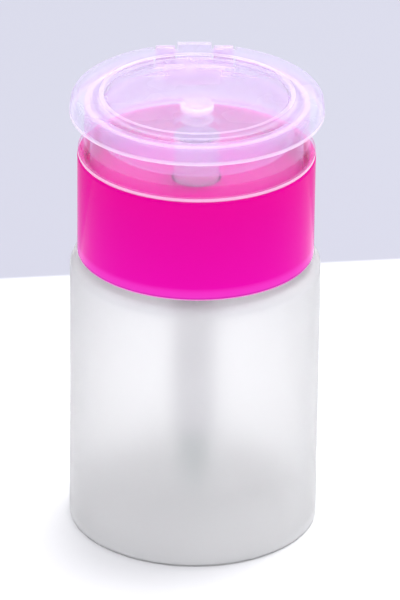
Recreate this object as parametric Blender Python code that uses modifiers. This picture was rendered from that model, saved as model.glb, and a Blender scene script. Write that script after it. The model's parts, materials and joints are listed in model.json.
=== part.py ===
"""Press-to-wet dispenser bottle for nail polish remover.

A frosted bottle with a magenta screw collar. The collar carries a natural guard ring with a flip lid.
Inside the ring lies a dish that is pressed down to work a small piston pump hanging in the bottle.
Metres, +Z up. The origin is the centre of the bottle's foot, the hinge is at +Y and the front at -Y.
"""

from math import acos, asin, cos, dist, pi, radians, sin, sqrt, tan

import bmesh
import bpy
from mathutils import Matrix, Vector

# Clearances shared by all pieces
seat_gap = 0.0002
fit_gap = 0.00025
running_gap = 0.0002
cut_overrun = 0.001
weld_distance = 0.000001

# Facets of the round pieces
large_steps = 40
tube_steps = 24
small_steps = 20
ball_segments = 16
ball_rings = 8
corner_facet_length = 0.0006
least_corner_facets = 2
lug_facets = 12
knuckle_facets = 18
flare_facets = 6

# Bottle
bottle_radius = 0.0225
bottle_wall = 0.0011
bottle_floor = 0.0014
shoulder_height = 0.0515
shoulder_corner_radius = 0.0016
foot_corner_radius = 0.0005
foot_ring_width = 0.0035
push_up_depth = 0.0008
push_up_ramp = 0.0012
neck_radius = 0.0153
neck_wall = 0.0017
neck_height = 0.0127
neck_root_radius = 0.0006
neck_lip_radius = 0.0003

# Neck gasket, between the bottle's lip and the housing's flange
gasket_thickness = 0.0008
gasket_inset = 0.0003

# Collar, the screw closure
collar_radius = 0.02125
collar_wall = 0.0012
collar_edge_radius = 0.0003
collar_shoulder_gap = 0.0013
deck_thickness = 0.0008
deck_clearance = 0.0014
thread_depth = 0.0008
skirt_wall = 0.0011
skirt_rise = 0.0012
retaining_bead_depth = 0.0009
retaining_bead_height = 0.0008
snap_groove_depth = 0.0004
snap_groove_height = 0.0010
snap_groove_drop = 0.0021

# Guard ring, seated on the collar
guard_setback = 0.00125
guard_wall = 0.0010
guard_height = 0.0101
guard_edge_radius = 0.00025
flange_inset = 0.0001
flange_thickness = 0.0007
flare_height = 0.0019
snap_bead_height = 0.0006
guard_plug_tail = 0.0001

# Lid
lid_overhang = 0.0027
lid_thickness = 0.00105
lid_seat_gap = 0.0003
brim_depth = 0.0027
brim_thickness = 0.0010
brim_draft = 0.00035
brim_foot_radius = 0.0002
lid_edge_radius = 0.0016
recess_margin = 0.00115
recess_depth = 0.0005
recess_slope = 0.0004
lid_plug_depth = 0.0015
lid_plug_wall = 0.0009

# Hinge
knuckle_radius = 0.0015
knuckle_width = 0.0062
knuckle_inset = 0.00003
heel_bite = 0.00005
heel_gap = 0.0003
lid_stop_angle = radians(127)
lug_radius = 0.00115
lug_width = 0.0035
lug_side_gap = 0.0004
trunnion_radius = 0.00055
trunnion_length = 0.0012
trunnion_gap = 0.00015
hinge_block_height = 0.0034
hinge_block_heel = 0.0012
hinge_block_bite = 0.0008
lug_front_gap = 0.00115
brim_cut_reach = 0.0003

# Press dish
dish_gap = 0.0017
dish_wall = 0.0010
dish_floor = 0.0010
dish_rim_drop = 0.0018
dish_depth = 0.0037
dish_skirt = 0.0014
dish_lip = 0.0003
dish_lip_height = 0.0006
dish_corner_radius = 0.0008
boss_radius = 0.00407
boss_rise = 0.0013
boss_reach = 0.0032
boss_gap = 0.0003
press_stroke = 0.0050
press_reserve = 0.0006

# Nozzle cap
nozzle_head_radius = 0.00297
nozzle_head_height = 0.0012
nozzle_neck_radius = 0.0017
nozzle_neck_height = 0.0016
nozzle_flange_radius = 0.0029
nozzle_flange_height = 0.0004
nozzle_plug_radius = 0.0020
nozzle_bore = 0.0008
outlet_radius = 0.0005
nozzle_edge_radius = 0.0004

# Outlet valve, in the boss
outlet_ball_radius = 0.00115
outlet_seat_radius = 0.0007
outlet_ball_lift = 0.0009
outlet_cage_play = 0.00035
outlet_seat_height = 0.0008
ball_gap = 0.00008

# Piston stem and piston
stem_radius = 0.0019
stem_bore = 0.0009
stem_socket_depth = 0.0062
stem_foot_gap = 0.00035
stem_foot_height = 0.0012
stem_pilot_gap = 0.0005
stem_pilot_height = 0.0012
piston_height = 0.0046
piston_lip_height = 0.0012
piston_waist = 0.0004

# Pump housing
housing_flange_gap = 0.00045
housing_flange_thickness = 0.0008
cup_wall = 0.0008
cup_floor = 0.0012
cylinder_bore = 0.0031
cylinder_wall = 0.0008
spigot_floor_gap = 0.0068
spigot_wall = 0.00045
spigot_shoulder = 0.0010
ball_chamber_play = 0.0003
inlet_ball_radius = 0.0015
inlet_seat_radius = 0.0009
inlet_ball_lift = 0.0013
cage_lip_radius = 0.0013
cage_lip_height = 0.0005
tube_socket_depth = 0.0030
tube_stop_height = 0.0005

# Stem guide
guide_sleeve_length = 0.0069
guide_flange_thickness = 0.0008
guide_flange_inset = 0.0002

# Dip tube
dip_tube_radius = 0.00165
dip_tube_wall = 0.0005
dip_tube_floor_gap = 0.0030

# Return spring
spring_wire_radius = 0.00025
spring_bore_gap = 0.0005
spring_end_turns = 1.5
spring_end_pitch = 0.00105
spring_middle_turns = 9
spring_points_per_turn = 9

# Sizes and places that follow
push_up_edge = bottle_radius - foot_ring_width
push_up_radius = push_up_edge - push_up_ramp
inner_floor = push_up_depth + bottle_floor
neck_top = shoulder_height + neck_height
gasket_bottom = neck_top + seat_gap
flange_bottom = gasket_bottom + gasket_thickness + seat_gap
flange_top = flange_bottom + housing_flange_thickness
deck_bottom = flange_top + seat_gap
deck_top = deck_bottom + deck_thickness
collar_bottom = shoulder_height + collar_shoulder_gap
snap_bead_drop = snap_groove_drop + snap_groove_height / 2 + seat_gap
guard_plug_depth = snap_bead_drop + snap_bead_height / 2 + guard_plug_tail
deck_depth = guard_plug_depth + deck_clearance
collar_top = deck_top + deck_depth
collar_height = collar_top - collar_bottom
collar_inner_radius = collar_radius - collar_wall
thread_bore = neck_radius + thread_depth + fit_gap
housing_flange_radius = thread_bore - housing_flange_gap
guard_bottom = collar_top + seat_gap
guard_top = guard_bottom + guard_height
guard_radius = collar_radius - guard_setback
guard_bore = guard_radius - guard_wall
lid_bottom = guard_top + lid_seat_gap
lid_top = lid_bottom + lid_thickness
lid_radius = guard_radius + lid_overhang
lid_plug_radius = guard_bore - lid_seat_gap
lid_plug_bore = lid_plug_radius - lid_plug_wall
recess_radius = lid_plug_bore - recess_margin
hinge_y = lid_radius - knuckle_inset - knuckle_radius
hinge_z = lid_top - knuckle_inset - knuckle_radius
hinge_block_top = hinge_z - knuckle_radius - heel_gap
lug_inner = knuckle_width / 2 + lug_side_gap
lug_outer = lug_inner + lug_width
notch_half_width = lug_outer + lug_side_gap
dish_radius = guard_bore - dish_gap
dish_floor_top = guard_top - dish_rim_drop - dish_depth
boss_top = dish_floor_top + boss_rise
boss_bottom = deck_top - boss_reach
cup_bore = boss_radius + boss_gap
guide_flange_top = boss_bottom - press_stroke - press_reserve
cup_floor_top = guide_flange_top - guide_flange_thickness - seat_gap
guide_sleeve_bottom = cup_floor_top - guide_sleeve_length
piston_top = guide_sleeve_bottom - seat_gap
stem_foot_top = piston_top - piston_height - seat_gap
stem_foot_bottom = stem_foot_top - stem_foot_height
stem_top = boss_bottom + stem_socket_depth - seat_gap
stem_foot_radius = cylinder_bore - stem_foot_gap
spring_radius = cylinder_bore - spring_bore_gap - spring_wire_radius
stem_pilot_radius = spring_radius - spring_wire_radius - stem_pilot_gap
outlet_seat_z = boss_bottom + stem_socket_depth + outlet_seat_height
spigot_bottom = inner_floor + spigot_floor_gap
spigot_radius = dip_tube_radius + fit_gap + spigot_wall
dip_tube_bottom = inner_floor + dip_tube_floor_gap
tube_stop_bottom = spigot_bottom + tube_socket_depth
inlet_seat_z = tube_stop_bottom + tube_stop_height


def ball_rest_height(ball_radius, seat_radius):
    """Height of a ball's centre above the edge of the round seat that it rests on."""
    return sqrt((ball_radius + ball_gap) ** 2 - seat_radius ** 2)


outlet_ball_z = outlet_seat_z + ball_rest_height(outlet_ball_radius, outlet_seat_radius)
inlet_ball_z = inlet_seat_z + ball_rest_height(inlet_ball_radius, inlet_seat_radius)
cage_lip_bottom = inlet_ball_z + inlet_ball_lift + ball_rest_height(inlet_ball_radius, cage_lip_radius)
spring_seat = cage_lip_bottom + cage_lip_height
nozzle_plug_bottom = outlet_ball_z + outlet_ball_radius + outlet_ball_lift
nozzle_plug_depth = boss_top + seat_gap - nozzle_plug_bottom


# Scene and shared tools

def clear_scene():
    for obj in list(bpy.data.objects):
        bpy.data.objects.remove(obj, do_unlink=True)


def new_collection(name):
    collection = bpy.data.collections.new(name)
    bpy.context.scene.collection.children.link(collection)
    return collection


def make_material(name, colour, roughness, metallic=0.0, transmission=0.0):
    material = bpy.data.materials.new(name)
    material.use_nodes = True
    shader = material.node_tree.nodes["Principled BSDF"]
    shader.inputs["Base Color"].default_value = (*colour, 1.0)
    shader.inputs["Roughness"].default_value = roughness
    shader.inputs["Metallic"].default_value = metallic
    shader.inputs["Transmission Weight"].default_value = transmission
    material.diffuse_color = (*colour, 1.0)
    return material


def joint_empty(name, parent, place):
    """An empty on a joint's axis. Its world place is kept, so that children can be placed from it."""
    empty = bpy.data.objects.new(name, None)
    parts.objects.link(empty)
    set_place(empty, parent, place)
    return empty


def set_place(obj, parent, place):
    """Puts an object at a world place under its parent."""
    obj["place"] = place
    obj.parent = parent
    origin = Vector(parent["place"]) if parent else Vector()
    obj.location = Vector(place) - origin


def rounded(corners, closed):
    """Replaces each (radius, height, fillet) corner by points on its fillet arc."""
    points = []
    count = len(corners)
    for index, (x, z, fillet) in enumerate(corners):
        here = Vector((x, z))
        ends = index in (0, count - 1) and not closed
        if ends or fillet == 0:
            points.append(here)
            continue
        before = Vector(corners[index - 1][:2]) - here
        after = Vector(corners[(index + 1) % count][:2]) - here
        half = before.angle(after) / 2
        reach = fillet / tan(half)
        start = here + before.normalized() * reach
        middle = here + (before.normalized() + after.normalized()).normalized() * (fillet / sin(half))
        spoke = start - middle
        sweep = pi - 2 * half
        facets = max(least_corner_facets, round(sweep * fillet / corner_facet_length))
        if before.x * after.y - before.y * after.x > 0:
            sweep = -sweep
        for step in range(facets + 1):
            turn = sweep * step / facets
            points.append(middle + Vector((
                spoke.x * cos(turn) - spoke.y * sin(turn),
                spoke.x * sin(turn) + spoke.y * cos(turn),
            )))
    return points


def turned(name, corners, steps, closed=False, collection=None):
    """A piece turned about Z from a profile whose outer side runs from top to bottom."""
    points = rounded(corners, closed)
    last = len(points) - 1
    edges = [(index, index + 1) for index in range(last)]
    if closed:
        edges.append((last, 0))
    mesh = bpy.data.meshes.new(name)
    mesh.from_pydata([(point.x, 0, point.y) for point in points], edges, [])
    obj = bpy.data.objects.new(name, mesh)
    (collection or parts).objects.link(obj)
    screw = obj.modifiers.new("turn", "SCREW")
    screw.axis = "Z"
    screw.angle = 2 * pi
    screw.steps = steps
    screw.render_steps = steps
    screw.use_smooth_shade = True
    screw.use_merge_vertices = True
    screw.merge_threshold = weld_distance
    return obj


def finish_piece(obj, parent, place, material, sharp=radians(35)):
    """Applies the piece's modifiers, shades it and puts it in its place."""
    depsgraph = bpy.context.evaluated_depsgraph_get()
    mesh = bpy.data.meshes.new_from_object(obj.evaluated_get(depsgraph))
    obj.modifiers.clear()
    obj.data = mesh
    mesh.name = obj.name
    mesh.materials.clear()
    mesh.materials.append(material)
    mesh.shade_smooth()
    mesh.set_sharp_from_angle(angle=sharp)
    set_place(obj, parent, place)
    return obj


def hide_cutter(obj):
    obj.hide_render = True
    obj.display_type = "WIRE"
    return obj


def box_cutter(name, low, high):
    bpy.ops.mesh.primitive_cube_add(size=1)
    obj = bpy.context.active_object
    obj.name = name
    for collection in list(obj.users_collection):
        collection.objects.unlink(obj)
    cutters.objects.link(obj)
    low, high = Vector(low), Vector(high)
    obj.data.transform(Matrix.LocRotScale((low + high) / 2, None, high - low))
    return hide_cutter(obj)


def rod_cutter(name, radius, start, end, steps):
    """A closed cylinder from one point to another."""
    start, end = Vector(start), Vector(end)
    along = end - start
    mesh = bpy.data.meshes.new(name)
    shape = bmesh.new()
    bmesh.ops.create_cone(shape, cap_ends=True, segments=steps, radius1=radius, radius2=radius, depth=along.length)
    bmesh.ops.rotate(shape, verts=shape.verts, matrix=along.to_track_quat("Z", "Y").to_matrix())
    bmesh.ops.translate(shape, verts=shape.verts, vec=(start + end) / 2)
    shape.to_mesh(mesh)
    shape.free()
    obj = bpy.data.objects.new(name, mesh)
    cutters.objects.link(obj)
    return hide_cutter(obj)


def outline_cutter(name, outline, left, right):
    """A closed (y, z) outline drawn out along X, made as a filled flat curve."""
    curve = bpy.data.curves.new(name, "CURVE")
    curve.dimensions = "2D"
    curve.fill_mode = "BOTH"
    curve.extrude = (right - left) / 2
    spline = curve.splines.new("POLY")
    spline.points.add(len(outline) - 1)
    for point, (y, z) in zip(spline.points, outline):
        point.co = (y, z, 0, 1)
    spline.use_cyclic_u = True
    flat = bpy.data.objects.new(name, curve)
    cutters.objects.link(flat)
    flat.rotation_euler = (pi / 2, 0, pi / 2)
    flat.location.x = (left + right) / 2
    bpy.context.view_layer.update()
    depsgraph = bpy.context.evaluated_depsgraph_get()
    mesh = bpy.data.meshes.new_from_object(flat.evaluated_get(depsgraph))
    shape = bmesh.new()
    shape.from_mesh(mesh)
    bmesh.ops.remove_doubles(shape, verts=shape.verts, dist=weld_distance)
    bmesh.ops.recalc_face_normals(shape, faces=shape.faces)
    shape.to_mesh(mesh)
    shape.free()
    obj = bpy.data.objects.new(name + "_solid", mesh)
    obj.matrix_world = flat.matrix_world
    cutters.objects.link(obj)
    bpy.data.objects.remove(flat, do_unlink=True)
    return hide_cutter(obj)


def combine(obj, other, operation):
    boolean = obj.modifiers.new(other.name, "BOOLEAN")
    boolean.operation = operation
    boolean.solver = "EXACT"
    boolean.object = other


def circle_points(centre_y, centre_z, radius, start, end, count):
    """Points on an arc in the YZ plane, angles counted from +Y towards +Z."""
    turns = [start + (end - start) * step / count for step in range(count + 1)]
    return [(centre_y + radius * cos(turn), centre_z + radius * sin(turn)) for turn in turns]


# Pieces

def make_bottle():
    inner = bottle_radius - bottle_wall
    bore = neck_radius - neck_wall
    ceiling = shoulder_height - bottle_wall
    return turned("bottle", [
        (0, inner_floor, 0),
        (push_up_radius, inner_floor, 0),
        (push_up_edge, bottle_floor, 0),
        (inner, bottle_floor, foot_corner_radius),
        (inner, ceiling, shoulder_corner_radius),
        (bore, ceiling, 0),
        (bore, neck_top, 0),
        (neck_radius, neck_top, neck_lip_radius),
        (neck_radius, shoulder_height, neck_root_radius),
        (bottle_radius, shoulder_height, shoulder_corner_radius),
        (bottle_radius, 0, foot_corner_radius),
        (push_up_edge, 0, 0),
        (push_up_radius, push_up_depth, 0),
        (0, push_up_depth, 0),
    ], large_steps)


def make_gasket():
    gasket_radius = neck_radius - gasket_inset
    gasket_bore = neck_radius - neck_wall + gasket_inset
    return turned("neck_gasket", [
        (gasket_radius, gasket_thickness, 0),
        (gasket_radius, 0, 0),
        (gasket_bore, 0, 0),
        (gasket_bore, gasket_thickness, 0),
    ], large_steps, closed=True)


def make_collar():
    """The closure: an outer ring, a deck inside it and the threaded skirt below the deck."""
    ceiling = deck_bottom - collar_bottom
    deck = deck_top - collar_bottom
    skirt_radius = thread_bore + skirt_wall
    hole = cup_bore
    bead_radius = thread_bore - retaining_bead_depth
    bead_top = flange_bottom - seat_gap - collar_bottom
    bead_bottom = bead_top - retaining_bead_height
    groove_radius = collar_inner_radius + snap_groove_depth
    groove_top = collar_height - snap_groove_drop
    groove_bottom = groove_top - snap_groove_height
    return turned("collar", [
        (collar_radius, collar_height, collar_edge_radius),
        (collar_radius, 0, collar_edge_radius),
        (collar_inner_radius, 0, 0),
        (collar_inner_radius, ceiling, 0),
        (skirt_radius, ceiling, 0),
        (skirt_radius, skirt_rise, 0),
        (thread_bore, skirt_rise, 0),
        (thread_bore, bead_bottom, 0),
        (bead_radius, (bead_bottom + bead_top) / 2, 0),
        (bead_radius, bead_top, 0),
        (thread_bore, bead_top, 0),
        (thread_bore, ceiling, 0),
        (hole, ceiling, 0),
        (hole, deck, 0),
        (collar_inner_radius, deck, 0),
        (collar_inner_radius, groove_bottom, 0),
        (groove_radius, groove_bottom, 0),
        (groove_radius, groove_top, 0),
        (collar_inner_radius, groove_top, 0),
        (collar_inner_radius, collar_height, 0),
    ], large_steps, closed=True)


def make_guard_ring():
    """Ring on the collar: flared foot, plug below with a snap bead, hinge block and lugs at the back."""
    flange_radius = collar_radius - flange_inset
    plug_radius = collar_inner_radius - fit_gap
    bead_radius = plug_radius + snap_groove_depth
    bead_middle = -snap_bead_drop
    bead_top = bead_middle + snap_bead_height / 2
    bead_bottom = bead_middle - snap_bead_height / 2
    flare = []
    for step in range(flare_facets + 1):
        turn = pi / 2 * step / flare_facets
        radius = flange_radius - (flange_radius - guard_radius) * cos(turn)
        height = flange_thickness + flare_height * (1 - sin(turn))
        flare.append((radius, height, 0))
    ring = turned("guard_ring", [
        (guard_radius, guard_height, guard_edge_radius),
        *flare,
        (flange_radius, 0, 0),
        (plug_radius, 0, 0),
        (plug_radius, bead_top, 0),
        (bead_radius, bead_middle, 0),
        (plug_radius, bead_bottom, 0),
        (plug_radius, -guard_plug_depth, 0),
        (guard_bore, -guard_plug_depth, 0),
        (guard_bore, guard_height, 0),
    ], large_steps, closed=True)
    axis_z = hinge_z - guard_bottom
    block_top = hinge_block_top - guard_bottom
    block_back = hinge_y + lug_radius
    block_front = guard_bore - hinge_block_bite
    combine(ring, outline_cutter("hinge_block", [
        (block_front, block_top + cut_overrun),
        (block_front, block_top - hinge_block_height),
        (block_back, block_top - hinge_block_heel),
        (block_back, block_top + cut_overrun),
    ], -lug_outer, lug_outer), "UNION")
    combine(ring, box_cutter(
        "guard_notch",
        (-notch_half_width, guard_bore / 2, block_top),
        (notch_half_width, lid_radius + cut_overrun, guard_height + cut_overrun),
    ), "DIFFERENCE")
    lug_outline = circle_points(hinge_y, axis_z, lug_radius, 0, pi, lug_facets)
    lug_outline.append((hinge_y - lug_radius, block_top - cut_overrun))
    lug_outline.append((hinge_y + lug_radius, block_top - cut_overrun))
    for side, label in ((-1, "left"), (1, "right")):
        inner, outer = sorted((side * lug_inner, side * lug_outer))
        combine(ring, outline_cutter("lug_" + label, lug_outline, inner, outer), "UNION")
    hole_end = knuckle_width / 2 + trunnion_length + trunnion_gap + lug_side_gap
    combine(ring, rod_cutter(
        "trunnion_hole",
        trunnion_radius + trunnion_gap,
        (-hole_end, hinge_y, axis_z),
        (hole_end, hinge_y, axis_z),
        small_steps,
    ), "DIFFERENCE")
    combine(ring, rod_cutter(
        "hinge_trim",
        lid_radius,
        (0, 0, -guard_plug_depth - cut_overrun),
        (0, 0, guard_height + cut_overrun),
        2 * large_steps,
    ), "INTERSECT")
    return ring


def knuckle_outline(axis_z):
    """The knuckle's barrel with a heel whose corner stops on the hinge block when the lid is fully open."""
    drop = knuckle_radius + heel_gap
    reach = drop + heel_bite
    heel = lid_stop_angle - asin(drop / reach)
    spread = acos(knuckle_radius / reach)
    start = heel + spread
    end = heel - spread + 2 * pi
    outline = circle_points(hinge_y, axis_z, knuckle_radius, start, end, knuckle_facets)
    outline.append((hinge_y + reach * cos(heel), axis_z + reach * sin(heel)))
    return outline


def make_lid():
    """Shallow lid: recessed top, brim standing out past the guard ring, plug ring and knuckle."""
    brim_top_radius = lid_radius - brim_draft
    recess_inner = recess_radius - recess_slope
    lid = turned("lid", [
        (0, lid_thickness - recess_depth, 0),
        (recess_inner, lid_thickness - recess_depth, 0),
        (recess_radius, lid_thickness, 0),
        (brim_top_radius, lid_thickness, lid_edge_radius),
        (lid_radius, -brim_depth, brim_foot_radius),
        (lid_radius - brim_thickness, -brim_depth, 0),
        (brim_top_radius - brim_thickness, 0, brim_thickness / 2),
        (lid_plug_radius, 0, 0),
        (lid_plug_radius, -lid_plug_depth, 0),
        (lid_plug_bore, -lid_plug_depth, 0),
        (lid_plug_bore, 0, 0),
        (recess_radius, 0, 0),
        (recess_inner, -recess_depth, 0),
        (0, -recess_depth, 0),
    ], large_steps)
    below = -brim_depth - cut_overrun
    above = lid_thickness + cut_overrun
    beyond = lid_radius + cut_overrun
    brim_cut = hinge_y - brim_cut_reach
    notch_front = hinge_y - lug_radius - lug_front_gap
    combine(lid, box_cutter(
        "brim_cut",
        (-notch_half_width, brim_cut, below),
        (notch_half_width, beyond, above),
    ), "DIFFERENCE")
    for side, label in ((-1, "left"), (1, "right")):
        inner, outer = sorted((side * knuckle_width / 2, side * notch_half_width))
        combine(lid, box_cutter(
            "lid_notch_" + label,
            (inner, notch_front, below),
            (outer, beyond, above),
        ), "DIFFERENCE")
    axis_z = hinge_z - lid_bottom
    combine(lid, outline_cutter("knuckle", knuckle_outline(axis_z), -knuckle_width / 2, knuckle_width / 2), "UNION")
    trunnion_end = knuckle_width / 2 + lug_side_gap + trunnion_length
    combine(lid, rod_cutter(
        "trunnions",
        trunnion_radius,
        (-trunnion_end, hinge_y, axis_z),
        (trunnion_end, hinge_y, axis_z),
        small_steps,
    ), "UNION")
    return lid


def make_dish():
    """The dish that is pressed, with its skirt, and the boss that carries the nozzle, the valve and the stem."""
    inner = dish_radius - dish_wall
    lip_bottom = dish_depth - dish_lip_height
    bottom = boss_bottom - dish_floor_top
    socket = stem_radius + running_gap
    socket_top = bottom + stem_socket_depth
    seat = outlet_seat_z - dish_floor_top
    plug_bottom = nozzle_plug_bottom - seat_gap - dish_floor_top
    plug_bore = nozzle_plug_radius + fit_gap
    cage = outlet_ball_radius + outlet_cage_play
    return turned("press_dish", [
        (dish_radius + dish_lip, dish_depth, 0),
        (dish_radius + dish_lip, lip_bottom, 0),
        (dish_radius, lip_bottom - dish_lip, 0),
        (dish_radius, -dish_skirt, 0),
        (inner, -dish_skirt, 0),
        (inner, -dish_floor, 0),
        (boss_radius, -dish_floor, 0),
        (boss_radius, bottom, 0),
        (socket, bottom, 0),
        (socket, socket_top, 0),
        (outlet_seat_radius, socket_top, 0),
        (outlet_seat_radius, seat, 0),
        (cage, seat, 0),
        (cage, plug_bottom, 0),
        (plug_bore, plug_bottom, 0),
        (plug_bore, boss_rise, 0),
        (boss_radius, boss_rise, fit_gap),
        (boss_radius, 0, 0),
        (inner, 0, dish_corner_radius),
        (inner, dish_depth, 0),
    ], large_steps, closed=True)


def make_nozzle():
    """Mushroom button pressed into the boss, with a blind bore and four outlets under its head."""
    flange_bottom_z = nozzle_plug_depth
    neck_bottom = flange_bottom_z + nozzle_flange_height
    head_bottom = neck_bottom + nozzle_neck_height
    outlet_z = neck_bottom + nozzle_neck_height / 2
    nozzle = turned("nozzle_cap", [
        (0, head_bottom + nozzle_head_height, 0),
        (nozzle_head_radius, head_bottom + nozzle_head_height, nozzle_edge_radius),
        (nozzle_head_radius, head_bottom, 0),
        (nozzle_neck_radius, head_bottom, 0),
        (nozzle_neck_radius, neck_bottom, 0),
        (nozzle_flange_radius, neck_bottom, 0),
        (nozzle_flange_radius, flange_bottom_z, 0),
        (nozzle_plug_radius, flange_bottom_z, 0),
        (nozzle_plug_radius, 0, 0),
        (nozzle_bore, 0, 0),
        (nozzle_bore, outlet_z, 0),
        (0, outlet_z, 0),
    ], small_steps)
    reach = nozzle_neck_radius + cut_overrun
    for label, along in (("x", Vector((reach, 0, 0))), ("y", Vector((0, reach, 0)))):
        middle = Vector((0, 0, outlet_z))
        combine(nozzle, rod_cutter(
            "outlet_" + label, outlet_radius, middle - along, middle + along, small_steps // 2
        ), "DIFFERENCE")
    return nozzle


def make_ball(name, radius):
    mesh = bpy.data.meshes.new(name)
    shape = bmesh.new()
    bmesh.ops.create_uvsphere(shape, u_segments=ball_segments, v_segments=ball_rings, radius=radius)
    shape.to_mesh(mesh)
    shape.free()
    obj = bpy.data.objects.new(name, mesh)
    parts.objects.link(obj)
    return obj


def make_stem():
    """Hollow stem; its foot carries the piston from below and its pilot centres the spring."""
    foot = stem_pilot_height
    foot_top = foot + stem_foot_height
    top = stem_top - stem_foot_bottom + stem_pilot_height
    return turned("piston_stem", [
        (stem_radius, top, 0),
        (stem_radius, foot_top, 0),
        (stem_foot_radius, foot_top, 0),
        (stem_foot_radius, foot, 0),
        (stem_pilot_radius, foot, 0),
        (stem_pilot_radius, 0, 0),
        (stem_bore, 0, 0),
        (stem_bore, top, 0),
    ], small_steps, closed=True)


def make_piston():
    """Sleeve on the stem with a sealing lip at each end."""
    lip = cylinder_bore - running_gap
    waist = lip - piston_waist
    bore = stem_radius + running_gap
    return turned("piston", [
        (lip, piston_height, 0),
        (lip, piston_height - piston_lip_height / 2, 0),
        (waist, piston_height - piston_lip_height, 0),
        (waist, piston_lip_height, 0),
        (lip, piston_lip_height / 2, 0),
        (lip, 0, 0),
        (bore, 0, 0),
        (bore, piston_height, 0),
    ], tube_steps, closed=True)


def make_guide():
    """Sleeve pushed into the housing: it guides the stem, and the piston comes up against it."""
    flange = cup_bore - guide_flange_inset
    bore = stem_radius + running_gap
    return turned("stem_guide", [
        (flange, guide_sleeve_length + seat_gap + guide_flange_thickness, 0),
        (flange, guide_sleeve_length + seat_gap, 0),
        (cylinder_bore - fit_gap, guide_sleeve_length + seat_gap, 0),
        (cylinder_bore - fit_gap, 0, 0),
        (bore, 0, 0),
        (bore, guide_sleeve_length + seat_gap + guide_flange_thickness, 0),
    ], tube_steps, closed=True)


def make_housing():
    """Flanged housing: cup for the boss, cylinder for the piston, ball chamber and socket for the dip tube."""
    cup_radius = cup_bore + cup_wall
    cylinder_radius = cylinder_bore + cylinder_wall
    chamber = inlet_ball_radius + ball_chamber_play
    socket = dip_tube_radius + fit_gap
    cage_bottom = cage_lip_bottom - spigot_bottom
    top = flange_top - spigot_bottom
    cup_bottom = cup_floor_top - cup_floor - spigot_bottom
    return turned("pump_housing", [
        (housing_flange_radius, top, 0),
        (housing_flange_radius, flange_bottom - spigot_bottom, 0),
        (cup_radius, flange_bottom - spigot_bottom, 0),
        (cup_radius, cup_bottom, cup_wall),
        (cylinder_radius, cup_bottom, 0),
        (cylinder_radius, cage_bottom, 0),
        (spigot_radius, cage_bottom - spigot_shoulder, 0),
        (spigot_radius, 0, 0),
        (socket, 0, 0),
        (socket, tube_socket_depth, 0),
        (inlet_seat_radius, tube_socket_depth, 0),
        (inlet_seat_radius, inlet_seat_z - spigot_bottom, 0),
        (chamber, inlet_seat_z - spigot_bottom, 0),
        (chamber, cage_bottom, 0),
        (cage_lip_radius, cage_bottom, 0),
        (cage_lip_radius, spring_seat - spigot_bottom, 0),
        (cylinder_bore, spring_seat - spigot_bottom, 0),
        (cylinder_bore, cup_floor_top - spigot_bottom, 0),
        (cup_bore, cup_floor_top - spigot_bottom, 0),
        (cup_bore, top, 0),
    ], tube_steps, closed=True)


def make_dip_tube():
    length = tube_stop_bottom - seat_gap - dip_tube_bottom
    bore = dip_tube_radius - dip_tube_wall
    return turned("dip_tube", [
        (dip_tube_radius, length, 0),
        (dip_tube_radius, 0, 0),
        (bore, 0, 0),
        (bore, length, 0),
    ], small_steps, closed=True)


def spring_points(length):
    """Centre line of the wire: close end turns, an even pitch between them."""
    end_rise = spring_end_turns * spring_end_pitch
    middle_pitch = (length - 2 * end_rise) / spring_middle_turns
    turns = 2 * spring_end_turns + spring_middle_turns
    count = round(turns * spring_points_per_turn)
    points = []
    for step in range(count + 1):
        turn = turns * step / count
        height = spring_end_pitch * min(turn, spring_end_turns)
        height += middle_pitch * min(max(turn - spring_end_turns, 0), spring_middle_turns)
        height += spring_end_pitch * max(turn - spring_end_turns - spring_middle_turns, 0)
        angle = 2 * pi * turn
        points.append((spring_radius * cos(angle), spring_radius * sin(angle), height))
    return points


def least_self_gap(points):
    """Least clear distance between stretches of the wire that are half a turn or more apart."""
    apart = spring_points_per_turn // 2
    gaps = []
    for index, point in enumerate(points):
        for other in points[index + apart:]:
            gaps.append(dist(point, other))
    return min(gaps) - 2 * spring_wire_radius


def make_spring():
    bottom = spring_seat + seat_gap + spring_wire_radius
    top = stem_foot_bottom - seat_gap - spring_wire_radius
    points = spring_points(top - bottom)
    print("return_spring least gap to itself, mm:", round(1000 * least_self_gap(points), 3))
    curve = bpy.data.curves.new("return_spring", "CURVE")
    curve.dimensions = "3D"
    curve.bevel_depth = spring_wire_radius
    curve.bevel_resolution = 1
    curve.use_fill_caps = True
    spline = curve.splines.new("POLY")
    spline.points.add(len(points) - 1)
    for point, place in zip(spline.points, points):
        point.co = (*place, 1)
    obj = bpy.data.objects.new("return_spring", curve)
    parts.objects.link(obj)
    return obj, bottom


clear_scene()
parts = new_collection("nail_polish_remover_bottle")
cutters = new_collection("cutters")

frosted = make_material("frosted_bottle", (0.86, 0.86, 0.88), 0.45, transmission=0.6)
magenta = make_material("magenta_gloss", (0.86, 0.003, 0.36), 0.12)
natural = make_material("natural_clear", (0.90, 0.86, 0.92), 0.22, transmission=0.7)
pump_white = make_material("pump_white", (0.88, 0.88, 0.88), 0.35)
seal_white = make_material("seal_white", (0.93, 0.93, 0.91), 0.6)
steel = make_material("steel", (0.55, 0.57, 0.57), 0.25, metallic=1.0)

# Joints: each moving body hangs from an empty on its axis
head = joint_empty("head_rise", None, (0, 0, 0))
collar_axis = joint_empty("collar_unscrew", head, (0, 0, collar_bottom))
plunger = joint_empty("dish_press", head, (0, 0, dish_floor_top))
lid_axis = joint_empty("lid_flip", collar_axis, (0, hinge_y, hinge_z))
inlet_axis = joint_empty("inlet_ball_lift", head, (0, 0, inlet_ball_z))
outlet_axis = joint_empty("outlet_ball_lift", plunger, (0, 0, outlet_ball_z))

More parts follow.
